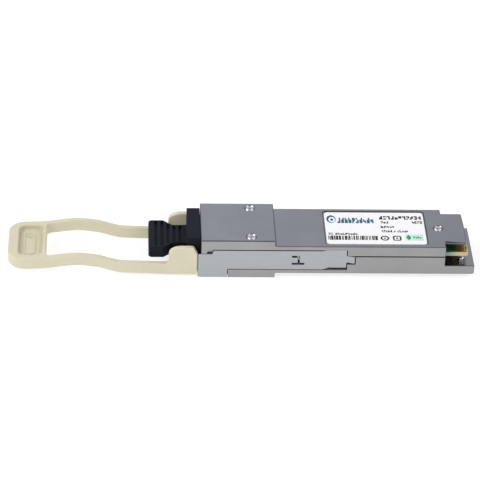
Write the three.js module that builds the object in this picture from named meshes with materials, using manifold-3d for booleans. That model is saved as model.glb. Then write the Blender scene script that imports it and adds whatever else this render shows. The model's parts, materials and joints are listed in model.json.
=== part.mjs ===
// Pluggable optical transceiver module with a pull-tab latch, in millimetres.
// Inner frame: X = 0 is the shoulder that stops against the cage and +X runs to the card edge,
// Y = 0 is the mid-plane, Z = 0 is the underside of the slim body. The outer group moves this frame
// so that the part's origin is the middle of its footprint.
import * as THREE from "three";
import { mergeVertices } from "three/addons/utils/BufferGeometryUtils.js";
import Module from "manifold-3d";

const wasm = await Module();
wasm.setup();

// ---------------------------------------------------------------- driving dimensions
const BODY = { width: 18.35, height: 8.5, rear: 52.8, cardMouth: 44.9 };
const HEAD = { front: -19.6, top: 10.05, bottom: -1.39, wall: 1.25 };
const HALF = BODY.width / 2;
const PARTING = { z: 5.36, gap: 0.24 }; // split between the two castings
const CAVITY = {
  floor: 1.2,
  ceiling: 7.6,
  start: 1.5,
  step: 22, // the cavity is wider behind the slider channels
  narrow: 7.4,
  wide: 8.25,
};
const LIP = { top: 2.65, chamfer: 0.45 };
const PEG = { x: 49.5, y: 6.45, foot: 0.95, top: 0.8, height: 0.8 }; // locating bosses at the rear
const LEDGES = { width: 0.9, narrowPart: [[5, 9], [16, 20]], widePart: [[26, 30], [38, 42]] };
const PEDESTAL = { x0: 24.5, x1: 32.5, half: 3.5 }; // carries the pad under the microcontroller
const SCREW_BOSS = 1.4; // radius of the pillars around the rear screw
const TONGUE = { half: 7.14, underside: 8.15, end: 50.45, bow: 0.4, corner: 0.5 };
const LABEL = { x0: 13.56, x1: 40.06, half: 7.64, thick: 0.2, corner: 0.9 };
const LABEL_RECESS = { x0: 13.2, x1: 40.4, half: 8.06, depth: 0.32, corner: 0.6 };
const LABEL_FLOOR = BODY.height - LABEL_RECESS.depth;

const PORT = { z: 4.6, half: 6.25, halfHeight: 3.85, back: -10.2 };
const THROAT = { start: -8.6, half: 5.6, end: -1 }; // narrower hollow behind the port

const SLIDER = {
  sheet: 0.42,
  travel: 1.4,
  low: 1.2, // lower edge of the side arms
  high: 7.02, // upper edge of the side arms
  lowered: 5.87, // upper edge in front of the shoulder
  shoulder: -16.2,
  jog: 12.4, // where the arm starts to bend inwards
  jogEnd: 14.2,
  sunk: 0.62, // how far the rear of the arm lies inside the flush plane
  end: 18.9,
  tip: 21,
  tipLow: 3,
  tipHigh: 5.15,
  footEnd: -12.6, // the foot wraps under the head from the front to here
  footGap: 0.18,
  strip: 0.68, // how far the arms stand out in front of the head before they bend inwards
  run: 0.1, // running gap around the arms
  headroom: 0.2, // gap above the arms
};
const LANCE = { x0: 4.4, stem: 6.2, x1: 7.7, low: 3, high: 5.2, slit: 0.26 }; // half width of the cut
const CHANNEL_FLOOR = HALF - SLIDER.sheet - 0.3; // |Y| of the side channels' floor
const POCKET_FLOOR = 7.9; // |Y| of the pockets behind the lance and behind the bent rear of the arm
const SPRING = { y: 7.8, z: 2.65, radius: 0.6, wire: 0.13, coils: 7, seat: -15.2, tab: -9.3 };

const TAB = {
  inner: 7.55,
  outer: 9.15,
  left: -70.4,
  armHeight: 3.3,
  handleLevel: 2.38, // height of the handle's mid-line
  innerRadius: 1.4,
  handleInner: -60.3,
  cornerRadius: 4.6,
  blockFront: -28,
  blockRear: -20.42,
  blockTop: 7.62,
  blockBottom: -0.75,
};
const TRAY = { x0: -67.7, x1: -61.2, half: 7.1, corner: 2, depth: 1.25, underDepth: 0.5 }; // thumb rest
const RELIEF = { x0: -66.3, x1: -63.2, half: 5.1, corner: 1.2, line: 0.36, height: 0.2 };
const TONGUE_IN_TAB = { y0: 8.13, y1: 8.55, front: -26.2, low: 0.5, high: 5.3 };

const PLUG = {
  flange: { x0: -23.2, x1: -19.7, half: 7.4, low: -0.5, high: 9.7 },
  neck: { x0: -26.96, half: 4.3, low: 3.05, high: 6.27 },
  grip: { x0: -33.36, x1: -29.5, half: 6.65, corner: 1.1 },
  spigot: { end: -14.4, half: 6.05, halfHeight: 3.6, hollowHalf: 4.6, hollowHalfHeight: 2.4 },
  groove: { first: -31.35, pitch: 1.62, count: 5, width: 0.7, depth: 0.55, rim: 0.55 },
};

const CARD = { low: 5.1, high: 6.15, front: 2.5, rear: 51.05, half: 8.1, frontHalf: 7.2 };
const THREAD_GAP = 0.06;
const SCREW_FRONT = { x: -6.35, y: 6.95, headRadius: 1.2, shank: 0.58, top: 9.98, end: 2 };
const SCREW_REAR = { x: 43.6, y: 0, headRadius: 1.1, shank: 0.55, top: 8.44, end: 2.4 };
const FERRULE = { front: -14.6, flange: -9.2, rear: -7.2, half: 3.2, halfHeight: 1.25, pinY: 2.3 };
const PIN = { radius: 0.34, front: -15.5, rear: -6.1 };
const KEEPER = { front: -7.1, rear: -6.3, half: 3.4, halfHeight: 1.3 };
const GASKET = { front: -9.25, rear: -8.65, half: 6.5, halfHeight: 4.05, holeHalf: 4.2, holeHalfHeight: 2.1 };
const RIBBON = { half: 1.55, thick: 0.3, front: -8.2, rear: 5.2, high: 6.98 };
const PAD = { thick: 0.9, chipX0: 10.4, chipX1: 13, chipHalf: 3, x0: 25, x1: 32, half: 3.2 };
const LENS = { x0: 5.4, x1: 9.4, half: 3, high: 7.35 };

// Parts soldered to the board: middle along and across the module, then length, width and height.
const BOARD_PARTS = [
  { name: "laser_array", look: "die", at: [7.3, -1.1], size: [0.3, 1.1, 0.2] },
  { name: "photodiode_array", look: "die", at: [7.3, 1.1], size: [0.3, 1.1, 0.2] },
  { name: "driver_chip", look: "chip", at: [11.7, -1.55], size: [2.8, 2.5, 0.5] },
  { name: "receiver_chip", look: "chip", at: [11.7, 1.55], size: [2.8, 2.5, 0.5] },
  { name: "microcontroller", look: "chip", at: [28.5, 0], size: [5, 5, 0.85] },
  { name: "voltage_regulator", look: "chip", at: [36, 4], size: [3, 3, 0.8] },
  { name: "power_inductor", look: "chip", at: [36, -4], size: [2.5, 2, 1.1] },
];
const CAPACITORS = {
  size: [1.6, 0.8, 0.8],
  places: [
    [15.5, -4.2],
    [15.5, 4.2],
    [20, -3],
    [20, 3],
    [32.6, -4],
    [32.6, 4],
    [40, -3.4],
    [40, 3.4],
  ],
};

// ---------------------------------------------------------------- solids and booleans
function solid(geometry) {
  const bare = geometry.index ? geometry.clone() : mergeVertices(stripped(geometry));
  const merged = mergeVertices(stripped(bare), 1e-5);
  return new wasm.Manifold(
    new wasm.Mesh({
      numProp: 3,
      vertProperties: new Float32Array(merged.attributes.position.array),
      triVerts: new Uint32Array(merged.index.array),
    }),
  );
}

function stripped(geometry) {
  const copy = geometry.clone();
  copy.deleteAttribute("normal");
  copy.deleteAttribute("uv");
  return copy;
}

function join(...solids) {
  return solids.reduce((sum, next) => sum.add(next));
}

function cut(base, ...tools) {
  return tools.reduce((left, tool) => left.subtract(tool), base);
}

function box(x0, x1, y0, y1, z0, z1) {
  const geometry = new THREE.BoxGeometry(x1 - x0, Math.abs(y1 - y0), z1 - z0);
  geometry.translate((x0 + x1) / 2, (y0 + y1) / 2, (z0 + z1) / 2);
  return solid(geometry);
}

const across = (x0, x1, half, z0, z1) => box(x0, x1, -half, half, z0, z1);

// A shape drawn in X and Y, extruded from z0 to z1.
function slab(shape, z0, z1) {
  const geometry = new THREE.ExtrudeGeometry(shape, {
    depth: z1 - z0,
    bevelEnabled: false,
    curveSegments: 8,
  });
  geometry.translate(0, 0, z0);
  return solid(geometry);
}

// A shape drawn in X and Z, extruded from y0 to y1.
function sideSlab(shape, y0, y1) {
  const geometry = new THREE.ExtrudeGeometry(shape, {
    depth: Math.abs(y1 - y0),
    bevelEnabled: false,
    curveSegments: 14,
  });
  geometry.rotateX(Math.PI / 2);
  geometry.translate(0, Math.max(y0, y1), 0);
  return solid(geometry);
}

function polygon(...points) {
  return new THREE.Shape(points.map(([a, b]) => new THREE.Vector2(a, b)));
}

function upright(x, y, radius, z0, z1, sides = 24, topRadius = radius) {
  const geometry = new THREE.CylinderGeometry(topRadius, radius, z1 - z0, sides);
  geometry.rotateX(Math.PI / 2);
  geometry.translate(x, y, (z0 + z1) / 2);
  return solid(geometry);
}

function lengthwise(radius, x0, x1, y, z, sides = 16) {
  const geometry = new THREE.CylinderGeometry(radius, radius, x1 - x0, sides);
  geometry.rotateZ(Math.PI / 2);
  geometry.translate((x0 + x1) / 2, y, z);
  return solid(geometry);
}

const bothSides = (make) => join(make(1), make(-1));

// ---------------------------------------------------------------- castings
const HOUSING_TOP = PARTING.z - PARTING.gap / 2;
const COVER_BOTTOM = PARTING.z + PARTING.gap / 2;

// The hollow that both castings share: port, throat and card bay.
function hollow(z0, z1) {
  const low = Math.max(z0, PORT.z - PORT.halfHeight - 0.35);
  const high = Math.min(z1, PORT.z + PORT.halfHeight + 0.35);
  const bayLow = Math.max(z0, CAVITY.floor);
  const bayHigh = Math.min(z1, CAVITY.ceiling);
  return join(
    across(HEAD.front - 1, THROAT.start, PORT.half + 0.4, low, high),
    across(THROAT.start - 1, THROAT.end, THROAT.half, low, high),
    across(THROAT.end - 1, CAVITY.start + 1, THROAT.half, bayLow, bayHigh),
    across(CAVITY.start, CAVITY.step, CAVITY.narrow, bayLow, bayHigh),
    across(CAVITY.step, BODY.cardMouth - 0.9, CAVITY.wide, bayLow, bayHigh),
  );
}

// Side channel for one slider arm; its roof follows the arm's upper edge, with room for the travel.
function channel(side) {
  const lead = SLIDER.shoulder - SLIDER.travel - 0.5;
  const floor = SLIDER.low - SLIDER.run;
  const roof = SLIDER.high + SLIDER.headroom;
  const outline = polygon(
    [HEAD.front - 1, floor],
    [SLIDER.end + 0.12, floor],
    [SLIDER.end + 0.12, roof],
    [lead + 0.48, roof],
    [lead, SLIDER.lowered + SLIDER.run],
    [HEAD.front - 1, SLIDER.lowered + SLIDER.run],
  );
  const pocket = (x0, x1, z0, z1) => box(x0, x1, side * POCKET_FLOOR, side * (HALF + 1), z0, z1);
  return join(
    sideSlab(outline, side * CHANNEL_FLOOR, side * (HALF + 1)),
    pocket(LANCE.x0 - SLIDER.travel - 0.4, LANCE.x1 + 0.4, LANCE.low - 0.6, LANCE.high + 0.6),
    pocket(SLIDER.jog - SLIDER.travel - 0.3, SLIDER.end + 0.12, floor, roof),
  );
}

function springPocket(side) {
  return box(
    SPRING.seat - 0.2,
    SPRING.tab + 1.4,
    side * (SPRING.y - 0.8),
    side * (HALF + 1),
    SPRING.z - 0.85,
    SPRING.z + 0.85,
  );
}

function lowerHousing() {
  const shell = join(
    across(HEAD.front, 0, HALF, HEAD.bottom, HOUSING_TOP),
    across(-1, BODY.cardMouth, HALF, 0, HOUSING_TOP),
    across(BODY.cardMouth - 1, BODY.rear, HALF, 0, LIP.top),
  );
  const rearChamfer = sideSlab(
    polygon(
      [BODY.rear - LIP.chamfer, -0.01],
      [BODY.rear + 0.1, -0.01],
      [BODY.rear + 0.1, LIP.chamfer],
      [BODY.rear, LIP.chamfer],
    ),
    -HALF - 1,
    HALF + 1,
  );
  const mouth = across(BODY.cardMouth - 1, BODY.cardMouth + 1, CAVITY.wide, LIP.top, 9);
  const footRecess = across(
    HEAD.front - 1,
    SLIDER.footEnd + SLIDER.footGap,
    HALF + 1,
    HEAD.bottom - 1,
    HEAD.bottom + SLIDER.sheet + 0.08,
  );
  const footChannel = (side) =>
    box(
      HEAD.front - 1,
      SLIDER.footEnd + SLIDER.footGap,
      side * CHANNEL_FLOOR,
      side * (HALF + 1),
      HEAD.bottom - 1,
      SLIDER.low + 0.5,
    );
  const tipPocket = (side) =>
    box(
      SLIDER.end - 2,
      SLIDER.tip + 0.22,
      side * POCKET_FLOOR,
      side * (HALF + 1),
      SLIDER.tipLow - 0.12,
      HOUSING_TOP + 1,
    );
  const hollowed = cut(
    shell,
    hollow(HEAD.bottom, HOUSING_TOP + 1),
    mouth,
    rearChamfer,
    footRecess,
    bothSides(channel),
    bothSides(footChannel),
    bothSides(springPocket),
    bothSides(tipPocket),
  );
  const ledge = ([x0, x1], wall) =>
    bothSides((side) =>
      box(x0, x1, side * (wall - LEDGES.width), side * wall, CAVITY.floor - 0.2, CARD.low),
    );
  const peg = (side) =>
    upright(PEG.x, side * PEG.y, PEG.foot, LIP.top - 0.2, LIP.top + PEG.height, 24, PEG.top);
  const inside = join(
    hollowed,
    ...LEDGES.narrowPart.map((span) => ledge(span, CAVITY.narrow)),
    ...LEDGES.widePart.map((span) => ledge(span, CAVITY.wide)),
    across(PEDESTAL.x0, PEDESTAL.x1, PEDESTAL.half, CAVITY.floor - 0.2, CARD.low - PAD.thick),
    upright(SCREW_REAR.x, SCREW_REAR.y, SCREW_BOSS, CAVITY.floor - 0.2, CARD.low),
    bothSides(peg),
  );
  const thread = ({ x, y, shank, end }, side) =>
    upright(x, side * y, shank + THREAD_GAP, end - 0.4, HOUSING_TOP + 1, 16);
  return cut(inside, bothSides((side) => thread(SCREW_FRONT, side)), thread(SCREW_REAR, 1));
}

function tongueOutline() {
  const shape = new THREE.Shape();
  const { half, end, bow, corner } = TONGUE;
  shape.moveTo(BODY.cardMouth - 1, -half);
  shape.lineTo(end - corner, -half);
  shape.quadraticCurveTo(end, -half, end, -half + corner);
  shape.quadraticCurveTo(end + bow, 0, end, half - corner);
  shape.quadraticCurveTo(end, half, end - corner, half);
  shape.lineTo(BODY.cardMouth - 1, half);
  return shape;
}

function roundedPlate(x0, x1, half, radius) {
  const shape = new THREE.Shape();
  shape.moveTo(x0 + radius, -half);
  shape.lineTo(x1 - radius, -half);
  shape.absarc(x1 - radius, -half + radius, radius, -Math.PI / 2, 0, false);
  shape.absarc(x1 - radius, half - radius, radius, 0, Math.PI / 2, false);
  shape.absarc(x0 + radius, half - radius, radius, Math.PI / 2, Math.PI, false);
  shape.absarc(x0 + radius, -half + radius, radius, Math.PI, Math.PI * 1.5, false);
  return shape;
}

function upperCover() {
  const shell = join(
    across(HEAD.front, 0, HALF, COVER_BOTTOM, HEAD.top),
    across(-1, BODY.cardMouth, HALF, COVER_BOTTOM, BODY.height),
    slab(tongueOutline(), TONGUE.underside, BODY.height),
  );
  const mouth = across(BODY.cardMouth - 1, BODY.cardMouth + 1, CAVITY.wide, 2, TONGUE.underside);
  const recess = slab(
    roundedPlate(LABEL_RECESS.x0, LABEL_RECESS.x1, LABEL_RECESS.half, LABEL_RECESS.corner),
    LABEL_FLOOR,
    BODY.height + 1,
  );
  const hollowed = cut(
    shell,
    hollow(COVER_BOTTOM - 1, HEAD.top),
    mouth,
    recess,
    bothSides(channel),
    bothSides(springPocket),
  );
  const boss = upright(
    SCREW_REAR.x,
    SCREW_REAR.y,
    SCREW_BOSS,
    CARD.high + 0.02,
    CAVITY.ceiling + 0.2,
  );
  const countersink = (screw, side, faceZ) =>
    join(
      upright(screw.x, side * screw.y, screw.shank + 0.15, COVER_BOTTOM - 1, faceZ, 16),
      upright(
        screw.x,
        side * screw.y,
        screw.shank + 0.15,
        faceZ - 0.95,
        faceZ + 0.25,
        24,
        screw.headRadius + 0.45,
      ),
    );
  return cut(
    join(hollowed, boss),
    bothSides((side) => countersink(SCREW_FRONT, side, HEAD.top)),
    countersink(SCREW_REAR, 1, BODY.height),
  );
}

// Countersunk screw with a small six-lobed recess, head up.
function coverScrew(screw, side = 1) {
  const { headRadius, shank, top, end } = screw;
  const rim = headRadius - 0.05;
  const profile = [
    [0, end],
    [shank * 0.7, end],
    [shank, end + 0.4],
    [shank, top - 0.75],
    [rim, top - 0.26],
    [rim, top - 0.2],
    [rim - 0.24, top],
    [0, top],
  ].map(([r, z]) => new THREE.Vector2(r, z));
  const turned = new THREE.LatheGeometry(profile, 32);
  turned.rotateX(Math.PI / 2);
  turned.translate(screw.x, side * screw.y, 0);
  const lobe = { half: 0.1, reach: headRadius * 0.36, depth: 0.6 };
  const star = Array.from({ length: 3 }, (_, i) => {
    const bar = new THREE.BoxGeometry(2 * lobe.reach, 2 * lobe.half, lobe.depth + 1);
    bar.rotateZ((i * Math.PI) / 3);
    bar.translate(screw.x, side * screw.y, top - lobe.depth / 2 + 0.5);
    return solid(bar);
  });
  const middle = upright(
    screw.x,
    side * screw.y,
    lobe.reach * 0.72,
    top - lobe.depth,
    top + 1,
    18,
  );
  return cut(solid(turned), middle, ...star);
}

// ---------------------------------------------------------------- latch
function armOutline() {
  const s = SLIDER;
  return polygon(
    [HEAD.front, HEAD.bottom],
    [s.footEnd, HEAD.bottom],
    [s.footEnd, s.low],
    [s.end, s.low],
    [s.end, s.tipLow],
    [s.tip, s.tipLow],
    [s.tip, s.tipHigh],
    [s.end, s.tipHigh],
    [s.end, s.high],
    [s.shoulder, s.high],
    [s.shoulder - 0.47, s.lowered],
    [HEAD.front, s.lowered],
  );
}

// The arm seen from above: flush with the body, then bent inwards, with its tip bent out again.
function armPlan(side) {
  const s = SLIDER;
  const outer = [
    [HEAD.front - 1, HALF],
    [s.jog, HALF],
    [s.jogEnd, HALF - s.sunk],
    [s.end - 0.2, HALF - s.sunk],
    [s.tip + 0.1, HALF - 0.1],
  ];
  const inner = outer.map(([x, y]) => [x - 0.08, y - s.sheet]).reverse();
  return polygon(...[...outer, ...inner].map(([x, y]) => [x, side * y]));
}

// One end of the bent tongue that the pull tab is moulded over, seen from above.
function jogOutline(side) {
  const t = TONGUE_IN_TAB;
  const inner = HALF - SLIDER.sheet;
  const bend = HEAD.front - SLIDER.strip;
  return polygon(
    ...[
      [bend, HALF],
      [bend - 0.1, t.y1],
      [t.front, t.y1],
      [t.front, t.y0],
      [bend - 0.16, t.y0],
      [bend + 0.16, inner],
      [HEAD.front + 0.2, inner],
      [HEAD.front + 0.2, HALF],
    ].map(([x, y]) => [x, side * y]),
  );
}

function latchSlider() {
  const inner = HALF - SLIDER.sheet;
  const arm = (side) =>
    sideSlab(armOutline(), side * 7, side * (HALF + 1)).intersect(
      slab(armPlan(side), HEAD.bottom - 1, HEAD.top),
    );
  const jog = (side) => {
    const bend = slab(jogOutline(side), HEAD.bottom + 0.08, SLIDER.lowered);
    const clearances = join(
      box(-30, TAB.blockRear + 0.05, side * 7, side * 10, HEAD.bottom, TONGUE_IN_TAB.low),
      box(-30, TAB.blockRear + 0.05, side * 7, side * 10, TONGUE_IN_TAB.high, HEAD.top),
    );
    return cut(bend, clearances);
  };
  const ear = (side) =>
    box(SPRING.tab, SPRING.tab + 0.4, side * (SPRING.y - 0.7), side * (inner + 0.1), 2, 3.3);
  const bridge = across(
    HEAD.front,
    SLIDER.footEnd,
    HALF,
    HEAD.bottom,
    HEAD.bottom + SLIDER.sheet,
  );
  const { x0, stem, x1, low, high, slit } = LANCE;
  const through = (side, xa, xb, za, zb) =>
    box(xa, xb, side * (inner - 0.3), side * (HALF + 1), za, zb);
  const lance = (side) =>
    join(
      through(side, x0, stem + slit, high - slit, high + slit),
      through(side, stem - slit, stem + slit, low, high),
      through(side, x0, x1, low - slit, low + slit),
    );
  return cut(join(bridge, bothSides(arm), bothSides(jog), bothSides(ear)), bothSides(lance));
}

class Helix extends THREE.Curve {
  constructor(x0, x1, y, z, radius, turns) {
    super();
    Object.assign(this, { x0, x1, y, z, radius, turns });
  }
  getPoint(t, target = new THREE.Vector3()) {
    const angle = t * this.turns * Math.PI * 2;
    return target.set(
      this.x0 + (this.x1 - this.x0) * t,
      this.y + this.radius * Math.cos(angle),
      this.z + this.radius * Math.sin(angle),
    );
  }
}

function returnSpring(side) {
  const wire = new THREE.Shape().absarc(0, 0, SPRING.wire, 0, Math.PI * 2, false);
  const path = new Helix(
    SPRING.seat,
    SPRING.tab - 0.2,
    side * SPRING.y,
    SPRING.z,
    SPRING.radius,
    SPRING.coils,
  );
  return solid(
    new THREE.ExtrudeGeometry(wire, {
      steps: SPRING.coils * 11,
      curveSegments: 6,
      extrudePath: path,
    }),
  );
}

// Height of the pull tab's mid-line: low beside the port, a hump, then the lower handle.
const TAB_MIDLINE = [
  [-28.6, 1],
  [-36.4, 1.24],
  [-40.4, 1.42],
  [-43.4, 2.1],
  [-46.6, 3.04],
  [-51.2, 3.62],
  [-54.8, 3.46],
  [-58.4, 2.9],
  [-62, 2.48],
  [-65.5, TAB.handleLevel],
  [TAB.left, TAB.handleLevel],
].map(([x, z]) => new THREE.Vector2(x, z));
const HANDLE_TOP = TAB.handleLevel + TAB.armHeight / 2;

function tabSideOutline() {
  const shift = (dz) => TAB_MIDLINE.map((p) => new THREE.Vector2(p.x, p.y + dz));
  const upper = shift(TAB.armHeight / 2);
  const lower = shift(-TAB.armHeight / 2).reverse();
  const shape = new THREE.Shape();
  shape.moveTo(TAB.blockRear, TAB.blockBottom + 0.6);
  shape.lineTo(TAB.blockRear, TAB.blockTop - 1.9);
  shape.lineTo(TAB.blockRear - 1.05, TAB.blockTop);
  shape.lineTo(TAB.blockFront + 3.3, TAB.blockTop);
  shape.quadraticCurveTo(
    TAB.blockFront,
    TAB.blockTop - 0.25,
    TAB.blockFront,
    TAB.blockTop - 2.3,
  );
  shape.lineTo(TAB.blockFront, 3.7);
  shape.quadraticCurveTo(TAB.blockFront, upper[0].y, upper[0].x - 0.6, upper[0].y);
  shape.splineThru(upper.slice(1));
  shape.lineTo(lower[0].x, lower[0].y);
  shape.splineThru(lower.slice(1));
  shape.lineTo(TAB.blockFront + 0.6, TAB.blockBottom);
  shape.lineTo(TAB.blockRear - 0.6, TAB.blockBottom);
  return shape;
}

function tabPlanOutline() {
  const { inner, outer, left, handleInner, innerRadius: q, cornerRadius: r } = TAB;
  const shape = new THREE.Shape();
  shape.moveTo(TAB.blockRear + 1, -outer);
  shape.lineTo(TAB.blockRear + 1, -inner);
  shape.lineTo(handleInner + q, -inner);
  shape.quadraticCurveTo(handleInner, -inner, handleInner, -inner + q);
  shape.lineTo(handleInner, inner - q);
  shape.quadraticCurveTo(handleInner, inner, handleInner + q, inner);
  shape.lineTo(TAB.blockRear + 1, inner);
  shape.lineTo(TAB.blockRear + 1, outer);
  shape.lineTo(left + r, outer);
  shape.absarc(left + r, outer - r, r, Math.PI / 2, Math.PI, false);
  shape.absarc(left + r, -outer + r, r, Math.PI, Math.PI * 1.5, false);
  return shape;
}

function pullTab() {
  const body = slab(tabPlanOutline(), -5, 15).intersect(
    sideSlab(tabSideOutline(), -TAB.outer - 1, TAB.outer + 1),
  );
  const tray = roundedPlate(TRAY.x0, TRAY.x1, TRAY.half, TRAY.corner);
  const trayFloor = HANDLE_TOP - TRAY.depth;
  const underside = HANDLE_TOP - TAB.armHeight + TRAY.underDepth;
  const tongueSlot = (side) =>
    box(
      TONGUE_IN_TAB.front - 0.15,
      TAB.blockRear + 1,
      side * (TONGUE_IN_TAB.y0 - 0.06),
      side * (TONGUE_IN_TAB.y1 + 0.06),
      TONGUE_IN_TAB.low - 0.1,
      TONGUE_IN_TAB.high + 0.1,
    );
  const hollowed = cut(
    body,
    slab(tray, trayFloor, 10),
    slab(tray, -5, underside),
    bothSides(tongueSlot),
  );
  return join(hollowed, trayRelief(trayFloor));
}

// A plain raised outline with a small ring in it, on the floor of the thumb rest.
function trayRelief(floor) {
  const { x0, x1, half, corner, line, height } = RELIEF;
  const top = floor + height;
  const outline = cut(
    slab(roundedPlate(x0, x1, half, corner), floor - 0.2, top),
    slab(roundedPlate(x0 + line, x1 - line, half - line, corner - line), floor - 1, top + 1),
  );
  const centre = (x0 + x1) / 2;
  const ring = cut(
    upright(centre, half - 1.7, 0.75, floor - 0.2, top),
    upright(centre, half - 1.7, 0.4, floor - 1, top + 1),
  );
  return join(outline, ring);
}

// ---------------------------------------------------------------- optical port
// Half width of the plug's handle at the given place along it.
function plugHalf(x) {
  const { neck, grip } = PLUG;
  const share = Math.min(1, Math.max(0, (x - grip.x1) / (neck.x0 - grip.x1)));
  return grip.half + share * (neck.half - grip.half);
}

function dustPlug() {
  const { flange, neck, grip, spigot, groove } = PLUG;
  const plan = new THREE.Shape();
  plan.moveTo(flange.x0 + 1, -neck.half);
  plan.lineTo(neck.x0, -neck.half);
  plan.lineTo(grip.x1, -grip.half);
  plan.lineTo(grip.x0 + grip.corner, -grip.half);
  plan.quadraticCurveTo(grip.x0, -grip.half, grip.x0, -grip.half + grip.corner);
  plan.lineTo(grip.x0, grip.half - grip.corner);
  plan.quadraticCurveTo(grip.x0, grip.half, grip.x0 + grip.corner, grip.half);
  plan.lineTo(grip.x1, grip.half);
  plan.lineTo(neck.x0, neck.half);
  plan.lineTo(flange.x0 + 1, neck.half);
  const handle = slab(plan, neck.low, neck.high);
  const plate = across(flange.x0, flange.x1, flange.half, flange.low, flange.high);
  const low = PORT.z - spigot.halfHeight;
  const high = PORT.z + spigot.halfHeight;
  const tube = cut(
    across(flange.x1 - 0.5, spigot.end, spigot.half, low, high),
    across(
      HEAD.front + 0.6,
      spigot.end + 1,
      spigot.hollowHalf,
      PORT.z - spigot.hollowHalfHeight,
      PORT.z + spigot.hollowHalfHeight,
    ),
  );
  const grooves = Array.from({ length: groove.count }, (_, i) => {
    const x = groove.first + i * groove.pitch;
    const half = plugHalf(x + groove.width / 2) - groove.rim;
    return across(x - groove.width / 2, x + groove.width / 2, half, neck.high - groove.depth, 9);
  });
  return cut(join(handle, plate, tube), ...grooves);
}

function mpoReceptacle() {
  const outerHalf = PORT.half + 0.35;
  const outerHalfHeight = PORT.halfHeight + 0.3;
  const back = PORT.back + 0.9;
  const frame = cut(
    across(HEAD.front + 0.25, back, outerHalf, PORT.z - outerHalfHeight, PORT.z + outerHalfHeight),
    across(HEAD.front - 1, PORT.back, PORT.half, PORT.z - PORT.halfHeight, PORT.z + PORT.halfHeight),
    across(PORT.back - 1, back + 1, 3.4, PORT.z - 1.4, PORT.z + 1.4),
    across(HEAD.front - 1, -14, 1.6, PORT.z, PORT.z + outerHalfHeight + 1),
  );
  const hook = (side) =>
    sideHook(side, [
      [PORT.back + 0.2, 5.1],
      [PORT.back + 0.2, 5.7],
      [-13.6, 5.7],
      [-13.9, 5.2],
      [-13.3, 4.7],
      [-12.9, 5.1],
    ]);
  return join(frame, bothSides(hook));
}

function sideHook(side, outline) {
  return slab(polygon(...outline.map(([x, y]) => [x, side * y])), PORT.z - 1.2, PORT.z + 1.2);
}

function mtFerrule() {
  const { front, flange, rear, half, halfHeight, pinY } = FERRULE;
  const body = join(
    across(front, flange + 0.5, half, PORT.z - halfHeight, PORT.z + halfHeight),
    across(flange, rear, half + 0.5, PORT.z - halfHeight - 0.25, PORT.z + halfHeight + 0.25),
  );
  const bore = (side) => lengthwise(PIN.radius + 0.06, front - 1, rear + 1, side * pinY, PORT.z);
  const fibreMouth = across(-8.4, rear + 1, RIBBON.half + 0.15, PORT.z - 0.3, PORT.z + 0.3);
  return cut(body, bothSides(bore), fibreMouth);
}

function guidePin(side) {
  const straight = lengthwise(PIN.radius, PIN.front + 0.5, PIN.rear, side * FERRULE.pinY, PORT.z);
  const nose = new THREE.CylinderGeometry(PIN.radius, PIN.radius * 0.45, 0.5, 16);
  nose.rotateZ(-Math.PI / 2);
  nose.translate(PIN.front + 0.25, side * FERRULE.pinY, PORT.z);
  return join(straight, solid(nose));
}

function pinKeeper() {
  const { front, rear, half, halfHeight } = KEEPER;
  const plate = across(front, rear, half, PORT.z - halfHeight, PORT.z + halfHeight);
  const bore = (side) =>
    lengthwise(PIN.radius + 0.06, front - 1, rear + 1, side * FERRULE.pinY, PORT.z);
  const slot = across(front - 1, rear + 1, RIBBON.half + 0.15, PORT.z - 0.35, PORT.z + 3);
  return cut(plate, bothSides(bore), slot);
}

function emiGasket() {
  const { front, rear, half, halfHeight, holeHalf, holeHalfHeight } = GASKET;
  const ring = across(front, rear, half, PORT.z - halfHeight, PORT.z + halfHeight);
  const hole = across(
    front - 1,
    rear + 1,
    holeHalf,
    PORT.z - holeHalfHeight,
    PORT.z + holeHalfHeight,
  );
  return cut(ring, hole);
}

// Fibre ribbon: leaves the ferrule level, rises over the board's front edge and enters the lens block.
function fibreRibbon() {
  const { front, rear, high } = RIBBON;
  const half = RIBBON.thick / 2;
  const shape = new THREE.Shape();
  shape.moveTo(front, PORT.z - half);
  shape.lineTo(-5.4, PORT.z - half);
  shape.bezierCurveTo(-2.4, PORT.z - half, -1.4, high - half, 1.6, high - half);
  shape.lineTo(rear, high - half);
  shape.lineTo(rear, high + half);
  shape.lineTo(1.5, high + half);
  shape.bezierCurveTo(-1.6, high + half, -2.6, PORT.z + half, -5.5, PORT.z + half);
  shape.lineTo(front, PORT.z + half);
  return sideSlab(shape, -RIBBON.half, RIBBON.half);
}

function lensBlock() {
  const block = across(LENS.x0, LENS.x1, LENS.half, CARD.high + 0.01, LENS.high);
  const chamber = across(LENS.x0 + 0.5, LENS.x1 - 0.5, LENS.half - 0.6, CARD.high - 1, 6.7);
  const side = across(LENS.x0 + 1.2, LENS.x1 - 1.2, LENS.half + 1, CARD.high - 1, 6.45);
  const mirror = sideSlab(polygon([6.4, 8], [8.2, 8], [7.3, 6.95]), -2, 2);
  return cut(block, chamber, side, mirror);
}

// ---------------------------------------------------------------- circuit board
function boardOutline() {
  const c = 0.4;
  const { front, rear, half, frontHalf } = CARD;
  const step = CAVITY.step + 0.4;
  const shape = polygon(
    [front, -frontHalf],
    [step, -frontHalf],
    [step, -half],
    [rear - c, -half],
    [rear, -half + c],
    [rear, half - c],
    [rear - c, half],
    [step, half],
    [step, frontHalf],
    [front, frontHalf],
  );
  const hole = new THREE.Path().absarc(SCREW_REAR.x, SCREW_REAR.y, 0.8, 0, Math.PI * 2, true);
  shape.holes.push(hole);
  return shape;
}

const onBoard = ([x, y], [length, width, height]) =>
  box(x - length / 2, x + length / 2, y - width / 2, y + width / 2, CARD.high, CARD.high + height);

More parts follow.
